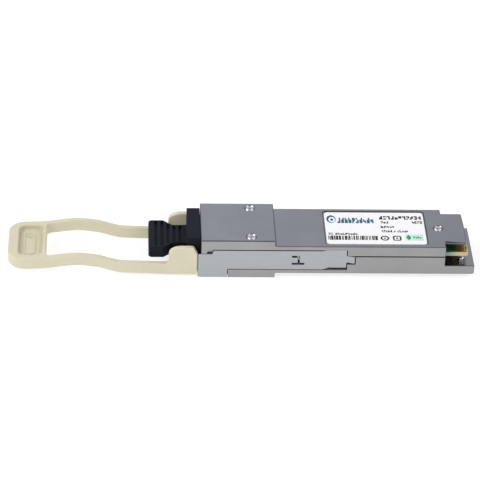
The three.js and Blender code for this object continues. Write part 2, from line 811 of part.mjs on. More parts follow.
// ---------------------------------------------------------------- finishes
const finish = (colour, roughness, metalness) =>
  new THREE.MeshStandardMaterial({ color: colour, roughness, metalness });

const FINISHES = {
  plating: finish(0x8d9098, 0.32, 1),
  stainless: finish(0xadb2b5, 0.3, 1),
  screw: finish(0xd5d7d9, 0.2, 1),
  spring: finish(0xb8bcc0, 0.25, 1),
  tab: finish(0xdcd5b8, 0.55, 0),
  rubber: finish(0x22252c, 0.75, 0),
  label: finish(0xf2f4f3, 0.5, 0),
  receptacle: finish(0x2b2d31, 0.5, 0),
  ferrule: finish(0x4a3a2c, 0.45, 0),
  gasket: finish(0x55585c, 0.85, 0.2),
  ribbon: finish(0x3fb7b0, 0.4, 0),
  lens: finish(0xc98a2b, 0.15, 0),
  board: finish(0x14401f, 0.45, 0),
  chip: finish(0x1c1d20, 0.5, 0),
  die: finish(0x6f7f92, 0.25, 0.6),
  pad: finish(0x9fb6c9, 0.8, 0),
  ceramic: finish(0xb59a74, 0.5, 0),
};

// ---------------------------------------------------------------- assembly
const assembly = new THREE.Group();
const part = new THREE.Group();
part.add(assembly);
assembly.position.set(-(TAB.left + BODY.rear) / 2, 0, -HEAD.bottom);

function place(name, made, look) {
  const { numProp, vertProperties, triVerts } = made.getMesh();
  const positions = new Float32Array((vertProperties.length / numProp) * 3);
  for (let i = 0; i < positions.length / 3; i++)
    positions.set(vertProperties.subarray(i * numProp, i * numProp + 3), i * 3);
  const geometry = new THREE.BufferGeometry();
  geometry.setAttribute("position", new THREE.BufferAttribute(positions, 3));
  geometry.setIndex(new THREE.BufferAttribute(triVerts, 1));
  geometry.computeVertexNormals();
  const mesh = new THREE.Mesh(geometry, FINISHES[look]);
  mesh.name = name;
  assembly.add(mesh);
}

const SIDES = [
  ["left", 1],
  ["right", -1],
];

place("lower_housing", lowerHousing(), "plating");
place("upper_cover", upperCover(), "plating");
SIDES.forEach(([name, side]) => place(`cover_screw_${name}`, coverScrew(SCREW_FRONT, side), "screw"));
place("cover_screw_rear", coverScrew(SCREW_REAR), "screw");
place(
  "label",
  slab(
    roundedPlate(LABEL.x0, LABEL.x1, LABEL.half, LABEL.corner),
    LABEL_FLOOR,
    LABEL_FLOOR + LABEL.thick,
  ),
  "label",
);

place("latch_slider", latchSlider(), "stainless");
place("pull_tab", pullTab(), "tab");
SIDES.forEach(([name, side]) => place(`return_spring_${name}`, returnSpring(side), "spring"));

place("dust_plug", dustPlug(), "rubber");
place("mpo_receptacle", mpoReceptacle(), "receptacle");
place("emi_gasket", emiGasket(), "gasket");
place("mt_ferrule", mtFerrule(), "ferrule");
SIDES.forEach(([name, side]) => place(`guide_pin_${name}`, guidePin(side), "screw"));
place("pin_keeper", pinKeeper(), "stainless");
place("fibre_ribbon", fibreRibbon(), "ribbon");
place("lens_block", lensBlock(), "lens");

place("circuit_board", slab(boardOutline(), CARD.low, CARD.high), "board");
BOARD_PARTS.forEach(({ name, look, at, size }) => place(name, onBoard(at, size), look));
CAPACITORS.places.forEach((at, i) =>
  place(`capacitor_${i + 1}`, onBoard(at, CAPACITORS.size), "ceramic"),
);
place(
  "thermal_pad_top",
  across(PAD.chipX0, PAD.chipX1, PAD.chipHalf, CARD.high + 0.52, CAVITY.ceiling - 0.02),
  "pad",
);
place(
  "thermal_pad_bottom",
  across(PAD.x0, PAD.x1, PAD.half, CARD.low - PAD.thick + 0.02, CARD.low - 0.02),
  "pad",
);

export default part;
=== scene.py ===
import json
import math
import random

import bmesh
import bpy
from mathutils import Matrix, Vector


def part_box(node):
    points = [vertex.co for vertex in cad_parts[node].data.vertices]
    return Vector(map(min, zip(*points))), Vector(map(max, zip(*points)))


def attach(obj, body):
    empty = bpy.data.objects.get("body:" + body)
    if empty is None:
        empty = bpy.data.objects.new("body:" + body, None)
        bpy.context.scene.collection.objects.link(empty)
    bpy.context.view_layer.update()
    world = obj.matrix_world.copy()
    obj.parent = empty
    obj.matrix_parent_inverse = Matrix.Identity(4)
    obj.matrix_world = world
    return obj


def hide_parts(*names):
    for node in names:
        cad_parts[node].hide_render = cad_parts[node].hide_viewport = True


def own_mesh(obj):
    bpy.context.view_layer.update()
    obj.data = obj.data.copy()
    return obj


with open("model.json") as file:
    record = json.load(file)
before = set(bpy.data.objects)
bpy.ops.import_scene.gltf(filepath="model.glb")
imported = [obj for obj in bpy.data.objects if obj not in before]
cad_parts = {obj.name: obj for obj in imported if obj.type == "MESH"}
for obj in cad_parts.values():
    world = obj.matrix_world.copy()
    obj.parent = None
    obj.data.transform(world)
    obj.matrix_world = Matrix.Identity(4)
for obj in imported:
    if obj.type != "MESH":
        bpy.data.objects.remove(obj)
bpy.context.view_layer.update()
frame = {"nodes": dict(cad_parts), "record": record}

NODES = frame["nodes"]
MOUNTS = {m["name"]: Vector(m["pos_m"]) for m in frame["record"]["mounts"]}
MM = 0.001

# Everything below is written in millimetres in the module's own frame: X = 0 at the cage stop,
# Z = 0 at the underside of the slim body. at() turns that into the row frame.
ORIGIN = Vector((MOUNTS["cage_stop"].x, 0, MOUNTS["cage_floor_face"].z))


def at(x, y, z):
    return ORIGIN + Vector((x, y, z)) * MM


def extent(node):
    """Lowest and highest corner of a CAD node, in millimetres in the module's own frame."""
    low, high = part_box(node)
    return (Vector(low) - ORIGIN) / MM, (Vector(high) - ORIGIN) / MM


# ---------------------------------------------------------------- materials
def grey(value, tint=(1.0, 1.0, 1.0)):
    return tuple(value * t for t in tint)


def set_stops(ramp, stops):
    """Gives a new colour ramp its (position, colour) stops."""
    while len(ramp.elements) < len(stops):
        ramp.elements.new(0.5)
    for element, (position, colour) in zip(ramp.elements, stops):
        element.position = position
        element.color = (*colour, 1.0)


class Graph:
    """A small wrapper that makes a material and adds its nodes."""

    def __init__(self, name):
        self.material = bpy.data.materials.new(name)
        self.material.use_nodes = True
        self.tree = self.material.node_tree
        self.shader = self.tree.nodes["Principled BSDF"]
        self.coordinates = self.add("ShaderNodeTexCoord")

    def add(self, kind, **settings):
        node = self.tree.nodes.new(kind)
        for key, value in settings.items():
            setattr(node, key, value)
        return node

    def link(self, source, target):
        self.tree.links.new(source, target)

    def set(self, **values):
        for key, value in values.items():
            self.shader.inputs[key.replace("_", " ")].default_value = value

    def millimetres(self, x=1.0, y=1.0, z=1.0):
        """Object coordinates in millimetres, multiplied along each axis."""
        mapping = self.add("ShaderNodeMapping")
        mapping.inputs["Scale"].default_value = (x / MM, y / MM, z / MM)
        self.link(self.coordinates.outputs["Object"], mapping.inputs["Vector"])
        return mapping.outputs["Vector"]

    def axis(self, vector, name):
        split = self.add("ShaderNodeSeparateXYZ")
        self.link(vector, split.inputs["Vector"])
        return split.outputs[name]

    def noise(self, vector, detail=3.0, rough=0.5):
        node = self.add("ShaderNodeTexNoise")
        node.inputs["Scale"].default_value = 1.0
        node.inputs["Detail"].default_value = detail
        node.inputs["Roughness"].default_value = rough
        self.link(vector, node.inputs["Vector"])
        return node.outputs["Fac"]

    def ramp(self, value, *stops):
        """Colour ramp with (position, colour) stops."""
        node = self.add("ShaderNodeValToRGB")
        set_stops(node.color_ramp, stops)
        self.link(value, node.inputs["Fac"])
        return node.outputs["Color"]

    def span(self, value, low, high, source=(0.0, 1.0)):
        """Maps the source range to low..high."""
        node = self.add("ShaderNodeMapRange")
        node.inputs["From Min"].default_value, node.inputs["From Max"].default_value = source
        node.inputs["To Min"].default_value = low
        node.inputs["To Max"].default_value = high
        self.link(value, node.inputs["Value"])
        return node.outputs["Result"]

    def math(self, operation, *values):
        node = self.add("ShaderNodeMath", operation=operation)
        for socket, value in zip(node.inputs, values):
            if isinstance(value, (int, float)):
                socket.default_value = value
            else:
                self.link(value, socket)
        return node.outputs["Value"]

    def mix(self, factor, a, b):
        node = self.add("ShaderNodeMix", data_type="RGBA")
        for name, value in (("Factor", factor), ("A", a), ("B", b)):
            self.link(value, next(s for s in node.inputs if s.name == name and s.enabled))
        return next(s for s in node.outputs if s.enabled)

    def bump(self, height, distance_mm, strength=1.0):
        node = self.add("ShaderNodeBump")
        node.inputs["Distance"].default_value = distance_mm * MM
        node.inputs["Strength"].default_value = strength
        self.link(height, node.inputs["Height"])
        self.link(node.outputs["Normal"], self.shader.inputs["Normal"])

    def colour(self, output):
        self.link(output, self.shader.inputs["Base Color"])

    def roughness(self, output):
        self.link(output, self.shader.inputs["Roughness"])


def plated_metal(name="nickel_plated_casting", low=0.33, high=0.365, rough=(0.2, 0.3)):
    """Satin nickel over a die casting: soft cloudy tone with painted shade that darkens it towards the
    rear (+X), faint orange peel, hair-fine polishing lines.
    """
    g = Graph(name)
    g.set(Metallic=1.0)
    clouds = g.noise(g.millimetres(0.1, 0.16, 0.16), detail=2.0)
    along = g.axis(g.millimetres(), "X")
    # painted shade: the colour grows darker towards the rear (+X), down to the darkest grey
    tone = g.math("SUBTRACT", clouds, g.span(along, 0.0, 0.5, (-20, 55)))
    painted_shade_grey = low * 0.93
    stops = [(0.0, grey(painted_shade_grey)), (0.3, grey(low)), (0.7, grey(high, (0.99, 1.0, 0.985)))]
    g.colour(g.ramp(tone, *stops))
    lines = g.noise(g.millimetres(0.25, 9, 9), detail=2.0)
    g.roughness(g.span(lines, *rough))
    g.bump(g.noise(g.millimetres(0.9, 0.9, 0.9), detail=2.0), 0.006, 0.5)
    return g.material


def stamped_steel(name="stamped_stainless", low=0.395, high=0.435, rough=(0.18, 0.3)):
    """Cold-rolled sheet: grain along the length."""
    g = Graph(name)
    g.set(Metallic=1.0)
    grain = g.noise(g.millimetres(0.3, 10, 10), detail=3.0)
    dark, light = grey(low, (0.96, 1.0, 1.04)), grey(high, (0.965, 1.0, 1.035))
    g.colour(g.ramp(grain, (0.3, dark), (0.7, light)))
    g.roughness(g.span(grain, *rough))
    g.bump(g.noise(g.millimetres(0.2, 3, 3), detail=2.0), 0.004, 0.5)
    return g.material


def bright_metal(name, dark, light, rough=(0.1, 0.22)):
    g = Graph(name)
    g.set(Metallic=1.0)
    fine = g.noise(g.millimetres(5, 5, 5))
    g.colour(g.ramp(fine, (0.3, dark), (0.7, light)))
    g.roughness(g.span(fine, *rough))
    g.bump(fine, 0.004, 0.3)
    return g.material


def moulded_tab():
    """Soft ivory thermoplastic with a fine spark-eroded texture and slightly cloudy tone."""
    g = Graph("moulded_tab_plastic")
    g.set(Specular_IOR_Level=0.3, Subsurface_Weight=0.1, Subsurface_Scale=0.0008)
    clouds = g.noise(g.millimetres(0.12, 0.12, 0.12), detail=2.0)
    grain = g.noise(g.millimetres(9, 9, 9), detail=2.0)
    g.colour(g.ramp(clouds, (0.25, (0.615, 0.57, 0.405)), (0.75, (0.655, 0.61, 0.445))))
    g.roughness(g.span(grain, 0.45, 0.62))
    g.bump(grain, 0.012, 0.4)
    return g.material


def moulded_rubber():
    g = Graph("moulded_rubber")
    g.set(Specular_IOR_Level=0.14)
    clouds = g.noise(g.millimetres(0.3, 0.3, 0.3))
    grain = g.noise(g.millimetres(8, 8, 8), detail=2.0)
    g.colour(g.ramp(clouds, (0.3, (0.004, 0.0055, 0.0095)), (0.7, (0.006, 0.008, 0.0145))))
    g.roughness(g.span(grain, 0.42, 0.6))
    g.bump(grain, 0.015, 0.4)
    return g.material


def plain_plastic(name, dark, light, rough=(0.35, 0.5), coat=0.0, specular=0.4):
    g = Graph(name)
    g.set(Specular_IOR_Level=specular)
    if coat:
        g.set(Coat_Weight=coat)
    clouds = g.noise(g.millimetres(0.8, 0.8, 0.8))
    grain = g.noise(g.millimetres(9, 9, 9), detail=2.0)
    g.colour(g.ramp(clouds, (0.3, dark), (0.7, light)))
    g.roughness(g.span(grain, *rough))
    g.bump(grain, 0.006, 0.3)
    return g.material


def ink(name, colour):
    return plain_plastic(name, tuple(c * 0.85 for c in colour), colour, (0.4, 0.55))


def circuit_laminate():
    """Green mask on the faces; bare laminate at the edges, which turns amber near the card's end."""
    g = Graph("circuit_laminate")
    g.set(Coat_Weight=0.1, Specular_IOR_Level=0.3)
    low, high = extent("circuit_board")
    place = g.millimetres()
    x, y = g.axis(place, "X"), g.axis(place, "Y")
    geometry = g.add("ShaderNodeNewGeometry")
    upright = g.math("ABSOLUTE", g.axis(geometry.outputs["Normal"], "Z"))
    card_end = high.x + ORIGIN.x / MM
    pullback = 0.35
    face = g.math("GREATER_THAN", upright, 0.5)
    before_end = g.math("LESS_THAN", x, card_end - pullback)
    between_sides = g.math("LESS_THAN", g.math("ABSOLUTE", y), high.y - pullback)
    masked = g.math("MULTIPLY", g.math("MULTIPLY", face, before_end), between_sides)
    weave = g.noise(g.millimetres(3, 3, 3), detail=2.0)
    amber = g.span(x, 0.0, 1.0, (card_end - 5.5, card_end - 2.5))
    laminate = g.mix(
        amber,
        g.ramp(weave, (0.3, (0.2, 0.28, 0.2)), (0.7, (0.26, 0.34, 0.25))),
        g.ramp(weave, (0.3, (0.5, 0.38, 0.19)), (0.7, (0.62, 0.48, 0.26))),
    )
    mask = g.ramp(weave, (0.3, (0.001, 0.022, 0.004)), (0.7, (0.003, 0.034, 0.007)))
    g.colour(g.mix(masked, laminate, mask))
    g.roughness(g.span(weave, 0.25, 0.4))
    return g.material


def capacitor_body():
    """Brown ceramic with tinned caps at both ends."""
    g = Graph("capacitor_ceramic")
    along = g.axis(g.coordinates.outputs["Generated"], "X")
    tin, clay = (0.75, 0.75, 0.76), (0.36, 0.25, 0.14)
    stops = [(0.0, tin), (0.22, tin), (0.23, clay), (0.77, clay), (0.78, tin), (1.0, tin)]
    g.colour(g.ramp(along, *stops))
    g.roughness(g.span(g.noise(g.millimetres(6, 6, 6)), 0.25, 0.45))
    return g.material


def floor_paint():
    g = Graph("pale_floor")
    g.set(Specular_IOR_Level=0.0, Emission_Strength=0.74, Emission_Color=(1, 1, 1, 1))
    speck = g.noise(g.millimetres(0.05, 0.05, 0.05), detail=2.0)
    g.colour(g.ramp(speck, (0.3, grey(0.34)), (0.7, grey(0.36))))
    g.roughness(g.span(speck, 0.75, 0.85))
    return g.material


MATERIALS = {
    "plating": plated_metal(),
    "stainless": stamped_steel(),
    "screw": bright_metal("bright_plated_screw", grey(0.6), grey(0.75), (0.24, 0.34)),
    "spring": bright_metal("spring_wire", grey(0.55), grey(0.68), (0.18, 0.3)),
    "tab": moulded_tab(),
    "rubber": moulded_rubber(),
    "label": plain_plastic("label_film", (0.88, 0.87, 0.85), (0.91, 0.9, 0.88)),
    "receptacle": plain_plastic("receptacle_plastic", (0.02, 0.021, 0.023), (0.03, 0.031, 0.034)),
    "ferrule": plain_plastic("ferrule_epoxy", (0.05, 0.035, 0.022), (0.08, 0.055, 0.035)),
    "gasket": plain_plastic("conductive_gasket", grey(0.08), grey(0.13), (0.7, 0.85)),
    "ribbon": plain_plastic("fibre_ribbon_coat", (0.04, 0.4, 0.38), (0.06, 0.52, 0.48), coat=0.4),
    "lens": plain_plastic("amber_lens_resin", (0.45, 0.2, 0.02), (0.6, 0.3, 0.04), (0.08, 0.15), 0.5),
    "board": circuit_laminate(),
    "chip": plain_plastic("chip_package", grey(0.012), grey(0.021)),
    "die": plain_plastic("bare_die", (0.12, 0.15, 0.2), (0.2, 0.24, 0.3), (0.1, 0.2)),
    "pad": plain_plastic("gap_filler", (0.3, 0.42, 0.53), (0.38, 0.5, 0.6), (0.7, 0.85)),
    "ceramic": capacitor_body(),
    "contact": bright_metal("gold_plating", (0.75, 0.44, 0.13), (0.86, 0.54, 0.2), (0.2, 0.32)),
    "ink": ink("label_ink_black", (0.012, 0.012, 0.014)),
}
# painted shade: darker copies of the plating and the sheet steel for the rounded edges, which paint a
# dark line along every edge
PAINTED_EDGE_SHADE_MATERIALS = {
    "plating": plated_metal("painted_dark_edge_casting", 0.16, 0.2, (0.3, 0.42)),
    "stainless": stamped_steel("painted_dark_edge_sheet", 0.3, 0.36, (0.3, 0.42)),
}


# ---------------------------------------------------------------- modifiers on the CAD solids
def node_group(name):
    group = bpy.data.node_groups.new(name, "GeometryNodeTree")
    group.interface.new_socket("Geometry", in_out="INPUT", socket_type="NodeSocketGeometry")
    group.interface.new_socket("Geometry", in_out="OUTPUT", socket_type="NodeSocketGeometry")
    return group, group.nodes.new("NodeGroupInput"), group.nodes.new("NodeGroupOutput")


def clean_group():
    """One smooth-shaded skin without the imported flat normals."""
    group, start, end = node_group("clean_skin")
    forget = group.nodes.new("GeometryNodeRemoveAttribute")
    forget.inputs["Name"].default_value = "custom_normal"
    merge = group.nodes.new("GeometryNodeMergeByDistance")
    merge.inputs["Distance"].default_value = 0.002 * MM
    smooth = group.nodes.new("GeometryNodeSetShadeSmooth")
    chain = [start, forget, merge, smooth, end]
    for a, b in zip(chain, chain[1:]):
        group.links.new(a.outputs[0], b.inputs[0])
    return group


CLEAN = clean_group()
FLAT_DEGREES = 1
SHARP_DEGREES = 32
NO_ROUNDING = 0.001


def compare(group, source, operation, limit):
    node = group.nodes.new("FunctionNodeCompare")
    node.operation = operation
    group.links.new(source, node.inputs["A"])
    node.inputs["B"].default_value = limit
    return node.outputs[0]


def both(group, a, b):
    node = group.nodes.new("FunctionNodeBooleanMath")
    group.links.new(a, node.inputs[0])
    group.links.new(b, node.inputs[1])
    return node.outputs[0]


def in_zone(group, place, low, high):
    """True for an edge whose middle lies in the box between two corners in millimetres."""
    low, high = at(*low), at(*high)
    offset = group.nodes.new("ShaderNodeVectorMath")
    offset.operation = "SUBTRACT"
    group.links.new(place, offset.inputs[0])
    offset.inputs[1].default_value = (low + high) / 2
    size = group.nodes.new("ShaderNodeVectorMath")
    size.operation = "ABSOLUTE"
    group.links.new(offset.outputs[0], size.inputs[0])
    split = group.nodes.new("ShaderNodeSeparateXYZ")
    group.links.new(size.outputs[0], split.inputs[0])
    half = (high - low) / 2
    x, y, z = (compare(group, split.outputs[i], "LESS_THAN", half[i]) for i in range(3))
    return both(group, both(group, x, y), z)


def edge_weight_group(name, zones, elsewhere):
    """Gives every sharp edge a bevel weight: each zone is (low corner, high corner, weight)."""
    group, start, end = node_group(f"edge_weights_{name}")
    nodes, links = group.nodes, group.links
    place = nodes.new("GeometryNodeInputPosition").outputs[0]
    angle = nodes.new("GeometryNodeInputMeshEdgeAngle").outputs["Unsigned Angle"]
    sharp = compare(group, angle, "GREATER_THAN", math.radians(SHARP_DEGREES))
    weight = nodes.new("ShaderNodeMath")
    weight.operation = "MULTIPLY"
    links.new(sharp, weight.inputs[0])
    weight.inputs[1].default_value = elsewhere
    before = None
    for low, high, value in zones:
        choice = nodes.new("GeometryNodeSwitch")
        choice.input_type = "FLOAT"
        links.new(in_zone(group, place, low, high), choice.inputs["Switch"])
        choice.inputs["True"].default_value = value
        choice.inputs["False"].default_value = elsewhere
        if before:
            links.new(before, choice.inputs["False"])
        before = choice.outputs[0]
    if before:
        links.new(before, weight.inputs[1])
    store = nodes.new("GeometryNodeStoreNamedAttribute")
    store.domain = "EDGE"
    store.inputs["Name"].default_value = "bevel_weight_edge"
    links.new(start.outputs[0], store.inputs["Geometry"])
    links.new(weight.outputs[0], store.inputs["Value"])
    unrounded = compare(group, weight.outputs[0], "LESS_THAN", NO_ROUNDING)
    crisp = nodes.new("GeometryNodeSetShadeSmooth")
    crisp.domain = "EDGE"
    crisp.inputs["Shade Smooth"].default_value = False
    links.new(store.outputs[0], crisp.inputs["Geometry"])
    links.new(both(group, sharp, unrounded), crisp.inputs["Selection"])
    links.new(crisp.outputs[0], end.inputs[0])
    return group


def soften(obj, width_mm, segments=2, zones=(), elsewhere=1.0, merge_faces=True, edge_material=None):
    """Merges the facets of the solid into clean faces and rounds its sharp edges."""
    obj.modifiers.new("clean", "NODES").node_group = CLEAN
    if merge_faces:
        flat = obj.modifiers.new("flat_faces", "DECIMATE")
        flat.decimate_type = "DISSOLVE"
        flat.angle_limit = math.radians(FLAT_DEGREES)
    weights = obj.modifiers.new("edge_weights", "NODES")
    weights.node_group = edge_weight_group(obj.name, zones, elsewhere)
    bevel = obj.modifiers.new("edges", "BEVEL")
    bevel.width = width_mm * MM
    bevel.segments = segments
    bevel.limit_method = "WEIGHT"
    bevel.harden_normals = True
    bevel.miter_outer = "MITER_ARC"
    bevel.use_clamp_overlap = False
    # the rounded faces take the darker edge material: painted shade along the edges
    if edge_material:
        obj.data.materials.append(edge_material)
        bevel.material = 1


def mirrored(low, high, weight):
    """The same zone on both sides of the mid-plane."""
    flipped = ((low[0], -high[1], low[2]), (high[0], -low[1], high[2]), weight)
    return [(low, high, weight), flipped]


# Rounding of each solid in millimetres, with the zones whose edges are crisper or softer. A later
# zone wins over an earlier one, and elsewhere is the weight outside all of them.
SOFT_SMALL = dict(width_mm=0.05)
SOFT = {
    "upper_cover": dict(
        width_mm=0.24,
        segments=3,
        zones=[
            # lower edges along the parting line, and the hollow inside
            ((-30, -12, 4), (60, 12, 7.6), 0.3),
            # corners and rim of the label recess
            ((12, -8.2, 8.2), (41, 8.2, 8.45), 0.25),
            ((12.2, -8.3, 8.46), (41, 8.3, 8.6), 0.35),
            # rims of the front and rear countersinks
            *mirrored((-8.4, 5.2, 8.5), (-4.4, 8.9, 10.2), 0.3),
            ((42, -1.8, 7.2), (45.2, 1.8, 8.6), 0.3),
            # bottoms of the countersinks, where the metal is thin
            ((41.5, -3, 7.3), (47, 3, 8), 0.0),
            *mirrored((-9.2, 5.2, 8), (-3.4, 9, 9.4), 0.0),
            # lower and upper edge of the tongue over the card
            ((46.2, -8.5, 7), (52, 8.5, 8.3), 0.15),
            ((46.2, -8.5, 8.3), (52, 8.5, 8.6), 1.1),
        ],
    ),
    "lower_housing": dict(
        width_mm=0.2,
        segments=3,
        elsewhere=0.35,
        zones=[
            # bottom edges of the slim body, and the head's bottom edge at the cage stop
            ((-25, -12, -0.05), (60, 12, 0.05), 1.0),
            ((-0.1, -12, -1.5), (60, 12, -1.3), 1.0),
            # rear lip
            ((44, -12, 0.3), (60, 12, 2.7), 0.8),
        ],
    ),
    # sharp where the arms bend into the pull tab
    "latch_slider": dict(width_mm=0.07, zones=mirrored((-21, 7, -1), (-18, 8.95, 10), 0.0)),
    "pull_tab": dict(
        width_mm=0.4,
        segments=4,
        zones=[
            # slots for the slider's tongues
            *mirrored((-27.5, 7.9, 0.2), (-20, 8.8, 5.6), 0.1),
            # thumb rest: floor, rim and embossed outline, then the recess below
            ((-68, -7.4, 2.6), (-61, 7.4, 3.6), 0.4),
            ((-68, -7.4, 3.6), (-61, 7.4, 4.3), 0.6),
            ((-66.6, -5.4, 2.6), (-63, 5.4, 3.1), 0.0),
            ((-68, -7.4, 0.5), (-61, 7.4, 1.5), 0.4),
        ],
    ),
    "dust_plug": dict(
        width_mm=0.3,
        segments=3,
        merge_faces=False,
        zones=[
            # bottoms and tops of the grip's grooves
            ((-32.4, -6.3, 5.4), (-23.6, 6.3, 6.2), 0.3),
            ((-32.4, -6.3, 6.2), (-23.6, 6.3, 6.4), 0.45),
            # top of the flange, and the spigot
            ((-23.4, -7.6, 9.5), (-19.7, 7.6, 10), 0.5),
            ((-19.7, -7, 0), (-14, 7, 9), 0.4),
        ],
    ),
    "label": dict(width_mm=0.03),
    "mpo_receptacle": dict(width_mm=0.1),
    "circuit_board": dict(width_mm=0.03),
    "laser_array": dict(width_mm=0.01),
    "photodiode_array": dict(width_mm=0.01),
}

for entry in frame["record"]["subparts"]:
    name, slot = entry["node"], entry["material_slot"]
    solid = NODES[name]
    solid.data.materials.clear()
    solid.data.materials.append(MATERIALS[slot])
    if not name.startswith("return_spring"):
        soften(solid, **SOFT.get(name, SOFT_SMALL), edge_material=PAINTED_EDGE_SHADE_MATERIALS.get(slot))


# ---------------------------------------------------------------- extra pieces
def piece(name, build, body, material):
    """Makes a mesh object from a bmesh builder that works in millimetres."""
    bm = bmesh.new()
    build(bm)
    bmesh.ops.recalc_face_normals(bm, faces=bm.faces)
    for vertex in bm.verts:
        vertex.co = at(*vertex.co)
    mesh = bpy.data.meshes.new(name)
    bm.to_mesh(mesh)
    bm.free()
    mesh.materials.append(material)
    obj = bpy.data.objects.new(name, mesh)
    bpy.context.scene.collection.objects.link(obj)
    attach(obj, body)
    return obj


def prism(bm, outline, z0, z1):
    """A closed plate with the given outline, a list of (x, y)."""
    low = [bm.verts.new((x, y, z0)) for x, y in outline]
    high = [bm.verts.new((x, y, z1)) for x, y in outline]
    bm.faces.new(low[::-1])
    bm.faces.new(high)
    for i in range(len(outline)):
        j = (i + 1) % len(outline)
        bm.faces.new((low[i], low[j], high[j], high[i]))


def frame_prism(bm, outer, inner, z0, z1):
    """A closed plate with a hole; both outlines have the same number of points."""
    def ring(outline, z):
        return [bm.verts.new((x, y, z)) for x, y in outline]

    outer_low, outer_high = ring(outer, z0), ring(outer, z1)
    inner_low, inner_high = ring(inner, z0), ring(inner, z1)
    for i in range(len(outer)):
        j = (i + 1) % len(outer)
        bm.faces.new((outer_low[i], outer_low[j], outer_high[j], outer_high[i]))
        bm.faces.new((inner_low[j], inner_low[i], inner_high[i], inner_high[j]))
        bm.faces.new((outer_high[i], outer_high[j], inner_high[j], inner_high[i]))
        bm.faces.new((outer_low[j], outer_low[i], inner_low[i], inner_low[j]))


def rectangle(x0, x1, y0, y1):
    return [(x0, y0), (x1, y0), (x1, y1), (x0, y1)]


def rounded(x0, x1, y0, y1, radius, steps=5):
    corners = [(x1 - radius, y1 - radius), (x0 + radius, y1 - radius)]
    corners += [(x0 + radius, y0 + radius), (x1 - radius, y0 + radius)]
    points = []
    for quarter, (cx, cy) in enumerate(corners):
        for step in range(steps + 1):
            angle = (quarter + step / steps) * math.pi / 2
            points.append((cx + radius * math.cos(angle), cy + radius * math.sin(angle)))
    return points


def ellipse(cx, cy, rx, ry, steps=36):
    turn = 2 * math.pi / steps
    return [(cx + rx * math.cos(i * turn), cy + ry * math.sin(i * turn)) for i in range(steps)]


def circle(cx, cy, radius, steps=36):
    return ellipse(cx, cy, radius, radius, steps)


# ---------------------------------------------------------------- label print
LABEL_LOW, LABEL_HIGH = extent("label")
PRINT_Z = (LABEL_HIGH.z + 0.002, LABEL_HIGH.z + 0.012)
BADGE_Z = (LABEL_HIGH.z + 0.001, LABEL_HIGH.z + 0.006)
WORD_GAP = 0.6  # in sign pitches
SIGN_WIDTH = 0.8  # in sign pitches
SHORT_SIGN = 0.72  # height beside a tall sign
CELL_OVERLAP = 0.01
BAR_WIDTHS = (0.2, 0.24, 0.4, 0.6)
BAR_GAPS = (0.12, 0.16, 0.3)
DRAW = random.Random(11)

# Black rows of blank signs: left, right, low and high as shares of the label, the number of signs in
# each word, and the share of tall signs.
BLACK_ROWS = [
    (0.555, 0.985, 0.775, 0.885, (11,), 1.0),
    (0.565, 0.645, 0.65, 0.725, (3,), 1.0),
    (0.88, 0.985, 0.65, 0.725, (4,), 1.0),
    (0.56, 0.7, 0.505, 0.58, (5,), 0.6),
    (0.56, 0.83, 0.37, 0.445, (5, 1, 5), 0.4),
    (0.025, 0.32, 0.28, 0.345, (2, 9), 0.9),
]
TEAL_ROW = (0.13, 0.5, 0.655, 0.825, (10,), 0.5)
GREEN_ROW = (0.87, 0.955, 0.18, 0.245, (4,), 1.0)


def across_label(u):
    return LABEL_LOW.x + u * (LABEL_HIGH.x - LABEL_LOW.x)


def up_label(v):
    return LABEL_LOW.y + v * (LABEL_HIGH.y - LABEL_LOW.y)


def glyph(bm, x, y, width, height):
    """A blank printed sign: a small rectangle of six cells with one or two left out."""
    cells = [(column, row) for column in range(2) for row in range(3)]
    for column, row in DRAW.sample(cells, DRAW.choice((4, 5))):
        x0, y0 = x + column * width / 2, y + row * height / 3
        x1, y1 = x0 + width / 2 + CELL_OVERLAP, y0 + height / 3 + CELL_OVERLAP
        prism(bm, rectangle(x0, x1, y0, y1), *PRINT_Z)


def glyph_row(bm, u0, u1, v0, v1, words, tall):
    """A row of blank signs that stands for a line of text; words gives the signs in each word."""
    x, x1, y0, y1 = across_label(u0), across_label(u1), up_label(v0), up_label(v1)
    step = (x1 - x) / (sum(words) + WORD_GAP * (len(words) - 1))
    for word in words:
        for _ in range(word):
            height = (y1 - y0) * (1 if DRAW.random() < tall else SHORT_SIGN)
            glyph(bm, x, y0, step * SIGN_WIDTH, height)
            x += step
        x += step * WORD_GAP


def black_print(bm):
    for row in BLACK_ROWS:
        glyph_row(bm, *row)
    bars(bm)
    ring_and_dot(bm)
    frame_and_square(bm)


def ring_and_dot(bm):
    centre = (across_label(0.585), up_label(0.185))
    frame_prism(bm, circle(*centre, 1.15), circle(*centre, 0.72), *PRINT_Z)
    prism(bm, circle(*centre, 0.3), *PRINT_Z)


def frame_and_square(bm):
    x0, x1, y0, y1 = across_label(0.665), across_label(0.75), up_label(0.11), up_label(0.26)
    line = 0.42
    hole = rounded(x0 + line, x1 - line, y0 + line, y1 - line, 0.12)
    frame_prism(bm, rounded(x0, x1, y0, y1, 0.5), hole, *PRINT_Z)
    middle = 2 * line + 0.01
    prism(bm, rectangle(x0 + middle, x1 - middle, y0 + middle, y1 - middle), *PRINT_Z)


def bars(bm):
    """A made-up bar pattern, not a readable code."""
    x, end = across_label(0.02), across_label(0.515)
    y0, y1 = up_label(0.125), up_label(0.255)
    while x < end:
        width = DRAW.choice(BAR_WIDTHS)
        prism(bm, rectangle(x, x + width, y0, y1), *PRINT_Z)
        x += width + DRAW.choice(BAR_GAPS)


